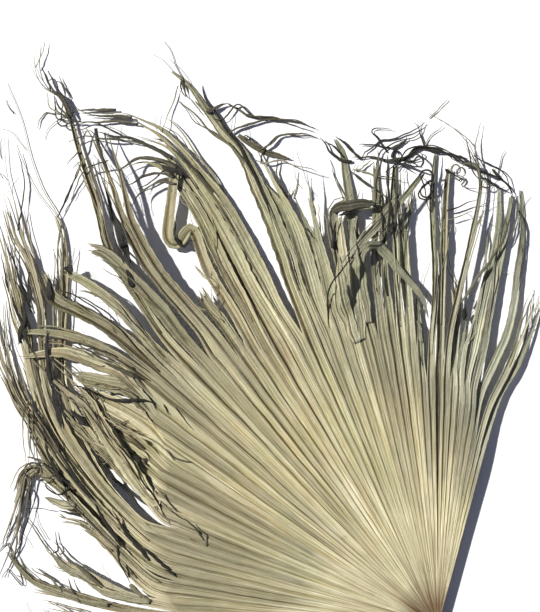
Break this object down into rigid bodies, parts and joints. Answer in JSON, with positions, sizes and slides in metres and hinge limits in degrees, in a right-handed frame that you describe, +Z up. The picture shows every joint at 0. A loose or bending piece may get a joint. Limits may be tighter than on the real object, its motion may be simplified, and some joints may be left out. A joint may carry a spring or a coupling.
{
  "type": "dried palm leaf",
  "caption": "Dried fan palm leaf lying flat: a pleated fan that splits into long, forked, curling segments on a short cut stalk, for dry arrangements and displays.",
  "frame": {"origin": "on the surface that the leaf lies on, under the point where its pleats meet", "axes": "+Z up from the surface, +Y along the leaf's midline towards its tips, the stalk along -Y, +X to the right as seen from above with the tips away"},
  "size_m": [1.0473, 1.2256, 0.0372],
  "materials": {
    "leaf": "matte",
    "stalk": "satin"
  },
  "bodies": {
    "root": {"blade": "leaf", "petiole": "stalk"}
  },
  "joints": []
}
